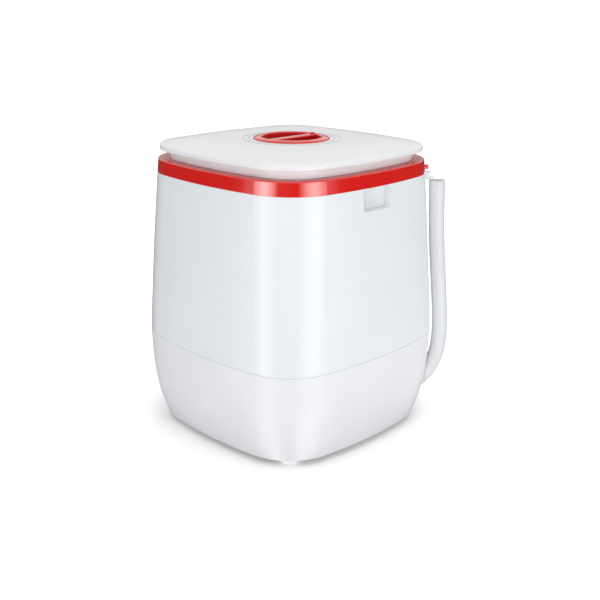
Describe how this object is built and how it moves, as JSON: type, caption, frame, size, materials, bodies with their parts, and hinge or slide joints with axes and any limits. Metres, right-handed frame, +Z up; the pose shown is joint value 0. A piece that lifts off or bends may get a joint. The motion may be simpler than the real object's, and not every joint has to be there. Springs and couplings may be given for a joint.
{
  "type": "compact washing machine",
  "caption": "Compact top-loading washing machine: bowed white wash tub on a drive base, red rim, lift-off lid with a red twist-lock handle, belt-driven pulsator and a parked drain hose.",
  "frame": {"origin": "on the pulsator axis, at the floor under the feet", "axes": "+Z up along the pulsator axis, -Y towards the front, +X to the right seen from the front; the drain hose is at the rear right corner"},
  "size_m": [0.3702, 0.3702, 0.44],
  "materials": {
    "tub_plastic": "glossy, slightly translucent moulded polypropylene",
    "skirt_plastic": "satin opaque moulded plastic",
    "tray_plastic": "matte moulded plastic",
    "red_plastic": "glossy moulded plastic",
    "lid_plastic": "glossy opaque moulded plastic",
    "white_nylon": "satin moulded plastic",
    "soft_seal": "soft silicone",
    "pale_rubber": "white rubber",
    "black_rubber": "matte rubber",
    "zinc_steel": "zinc plated",
    "ground_steel": "ground bar",
    "core_steel": "stacked laminations",
    "cast_alloy": "cast or drawn aluminium",
    "bronze": "sintered bronze",
    "copper_wire": "enamelled copper wire",
    "black_plastic": "satin black plastic",
    "hose_plastic": "flexible milky PVC"
  },
  "bodies": {
    "cabinet": {"tub": "tub_plastic", "base_skirt": "skirt_plastic", "base_plate": "tray_plastic", "drain_sump": "tray_plastic", "switch_housing": "tray_plastic", "bearing_housing": "tray_plastic", "terminal_block": "tray_plastic", "rim_ring": "red_plastic", "hook_peg": "red_plastic", "drain_grate": "white_nylon", "hose_hook": "white_nylon", "lid_seal": "soft_seal", "feet": "pale_rubber", "shaft_seal": "black_rubber", "motor_grommets": "black_rubber", "drive_belt": "black_rubber", "base_screws": "zinc_steel", "foot_screws": "zinc_steel", "floor_screws": "zinc_steel", "motor_screws": "zinc_steel", "motor_bolts": "zinc_steel", "hose_clamp": "zinc_steel", "motor_bracket": "zinc_steel", "capacitor_clip": "zinc_steel", "motor_bearings": "ground_steel", "motor_stator": "core_steel", "motor_lower_cap": "cast_alloy", "motor_upper_cap": "cast_alloy", "capacitor": "cast_alloy", "lower_bush": "bronze", "upper_bush": "bronze", "motor_windings": "copper_wire", "cord_gland": "black_plastic", "wiring": "black_plastic", "drain_hose": "hose_plastic"},
    "lid": {"lid_cover": "lid_plastic", "lid_liner": "lid_plastic", "lid_screws": "zinc_steel", "bolt_keepers": "white_nylon"},
    "lock_handle": {"lock_knob": "red_plastic", "lock_cam": "white_nylon", "cam_screw": "zinc_steel"},
    "front_bolt": {"front_bolt": "white_nylon"},
    "rear_bolt": {"rear_bolt": "white_nylon"},
    "pulsator": {"pulsator": "white_nylon", "pulsator_screw": "zinc_steel", "drive_shaft": "ground_steel", "driven_pulley": "cast_alloy", "pulley_nut": "zinc_steel"},
    "motor_rotor": {"motor_rotor": "core_steel", "motor_shaft": "ground_steel", "motor_fan": "white_nylon", "motor_pulley": "cast_alloy"},
    "switch_key": {"switch_key": "black_plastic"}
  },
  "joints": [
    {"name": "lid_lift", "type": "slide", "parent": "cabinet", "child": "lid", "axis": [0, 0, 1], "range_m": [0, 0.12]},
    {"name": "handle_turn", "type": "hinge", "parent": "lid", "child": "lock_handle", "pos_m": [0, 0, 0.42], "axis": [0, 0, 1], "range_deg": [0, 90]},
    {"name": "rear_bolt_slide", "type": "slide", "parent": "lid", "child": "rear_bolt", "axis": [0, 1, 0], "range_m": [0, 0.009]},
    {"name": "front_bolt_slide", "type": "slide", "parent": "lid", "child": "front_bolt", "axis": [0, -1, 0], "range_m": [0, 0.009]},
    {"name": "pulsator_spin", "type": "hinge", "parent": "cabinet", "child": "pulsator", "pos_m": [0, 0, 0.16], "axis": [0, 0, 1], "continuous": true},
    {"name": "rotor_spin", "type": "hinge", "parent": "cabinet", "child": "motor_rotor", "pos_m": [-0.0792, -0.0792, 0.09], "axis": [0, 0, 1], "continuous": true},
    {"name": "switch_rock", "type": "hinge", "parent": "cabinet", "child": "switch_key", "pos_m": [-0.062, 0.171, 0.086], "axis": [1, 0, 0], "range_deg": [0, 22]}
  ],
  "couplings": [
    {"joint": "rear_bolt_slide", "follows": "handle_turn", "m_per_rad": 0.0057296},
    {"joint": "front_bolt_slide", "follows": "handle_turn", "m_per_rad": 0.0057296},
    {"joint": "rotor_spin", "follows": "pulsator_spin", "ratio": 5}
  ]
}
